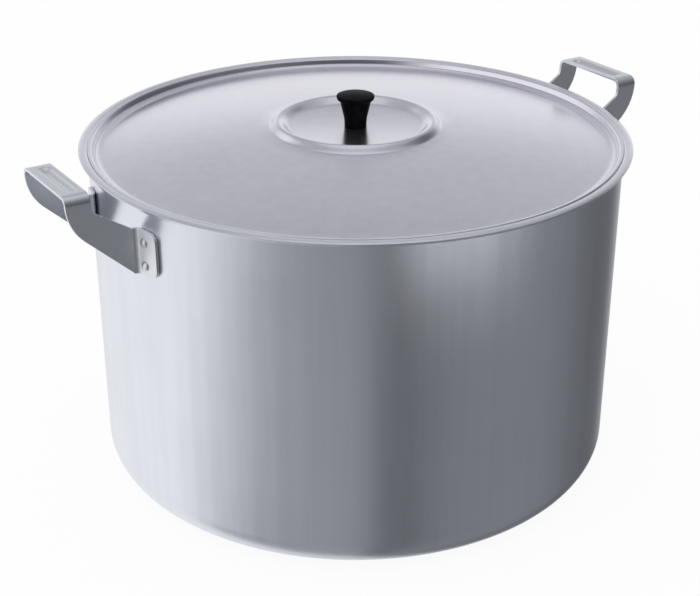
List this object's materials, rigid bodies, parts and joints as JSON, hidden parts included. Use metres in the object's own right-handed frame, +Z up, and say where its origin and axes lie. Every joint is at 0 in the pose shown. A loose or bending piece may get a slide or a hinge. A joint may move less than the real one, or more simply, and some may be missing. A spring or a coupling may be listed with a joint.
{
  "type": "cooking pot",
  "caption": "Large round aluminium cooking pot with straight walls, a turned-out lip, riveted strap handles and a loose pressed lid with a black knob, for cooking in quantity.",
  "frame": {"origin": "centre of the base, on the surface that the pot stands on", "axes": "+Z up along the pot's axis, +X through the right handle, the picture taken from the -X -Y side"},
  "size_m": [0.5394, 0.4472, 0.3151],
  "materials": {
    "pot_metal": "spun and polished, with fine turning lines",
    "lid_metal": "satin, pressed",
    "strap_metal": "polished strap",
    "rivet_metal": "bright, set",
    "knob_black": "moulded, semi-gloss",
    "insert_brass": "turned",
    "screw_steel": "plain"
  },
  "bodies": {
    "pot": {"pot_body": "pot_metal", "handle_right": "strap_metal", "handle_left": "strap_metal", "rivet_right_front_upper": "rivet_metal", "rivet_right_front_lower": "rivet_metal", "rivet_right_back_upper": "rivet_metal", "rivet_right_back_lower": "rivet_metal", "rivet_left_front_upper": "rivet_metal", "rivet_left_front_lower": "rivet_metal", "rivet_left_back_upper": "rivet_metal", "rivet_left_back_lower": "rivet_metal"},
    "lid": {"lid_panel": "lid_metal", "lid_knob": "knob_black", "knob_insert": "insert_brass", "knob_screw": "screw_steel", "knob_washer": "screw_steel"}
  },
  "joints": [
    {"name": "lid_lift", "type": "slide", "parent": "pot", "child": "lid", "axis": [0, 0, 1], "range_m": [0, 0.3]}
  ]
}
